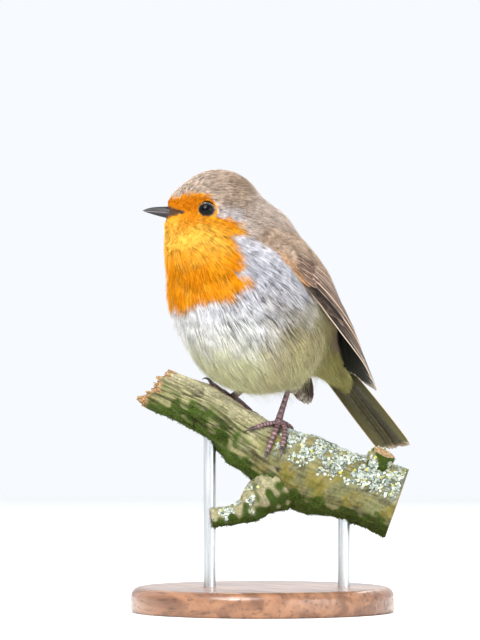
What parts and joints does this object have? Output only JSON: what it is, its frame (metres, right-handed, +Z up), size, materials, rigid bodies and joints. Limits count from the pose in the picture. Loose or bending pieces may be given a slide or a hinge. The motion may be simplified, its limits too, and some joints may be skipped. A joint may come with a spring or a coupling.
{
  "type": "robin on a branch",
  "caption": "Small plump songbird with an orange-red face and breast, standing on a short cut length of lichened branch that two rods hold above a round base.",
  "frame": {"origin": "centre of the stand base's underside, on the floor", "axes": "+Z is up, the bird's trunk and tail lie along Y with the bird facing -Y, and +X is the bird's left side"},
  "size_m": [0.0934, 0.1107, 0.1575],
  "materials": {
    "plumage_crown": "soft warm grey-brown feathers",
    "plumage_breast": "soft orange-red feathers",
    "plumage_belly": "soft whitish to olive-buff feathers",
    "flight_feathers": "smooth brown vanes with paler edges",
    "bill": "satin dark horn",
    "eye": "wet-looking black",
    "leg_scale": "scaly purple-brown skin",
    "claw": "satin dark horn",
    "bark": "rough bark with lichen and moss",
    "stand_wood": "dark satin varnish",
    "stand_steel": "brushed"
  },
  "bodies": {
    "root": {"head": "plumage_crown", "neck": "plumage_breast", "trunk": "plumage_belly", "rump": "plumage_belly", "tail": "flight_feathers", "wing_left": "flight_feathers", "wing_right": "flight_feathers", "bill_upper": "bill", "bill_lower": "bill", "eye_left": "eye", "eye_right": "eye", "thigh_left": "plumage_belly", "thigh_right": "plumage_belly", "tarsus_left": "leg_scale", "tarsus_right": "leg_scale", "toe_left_hallux": "leg_scale", "toe_left_inner": "leg_scale", "toe_left_middle": "leg_scale", "toe_left_outer": "leg_scale", "toe_right_hallux": "leg_scale", "toe_right_inner": "leg_scale", "toe_right_middle": "leg_scale", "toe_right_outer": "leg_scale", "claw_left_hallux": "claw", "claw_left_inner": "claw", "claw_left_middle": "claw", "claw_left_outer": "claw", "claw_right_hallux": "claw", "claw_right_inner": "claw", "claw_right_middle": "claw", "claw_right_outer": "claw", "perch": "bark", "stand_base": "stand_wood", "stand_rod_1": "stand_steel", "stand_rod_2": "stand_steel"}
  },
  "joints": []
}
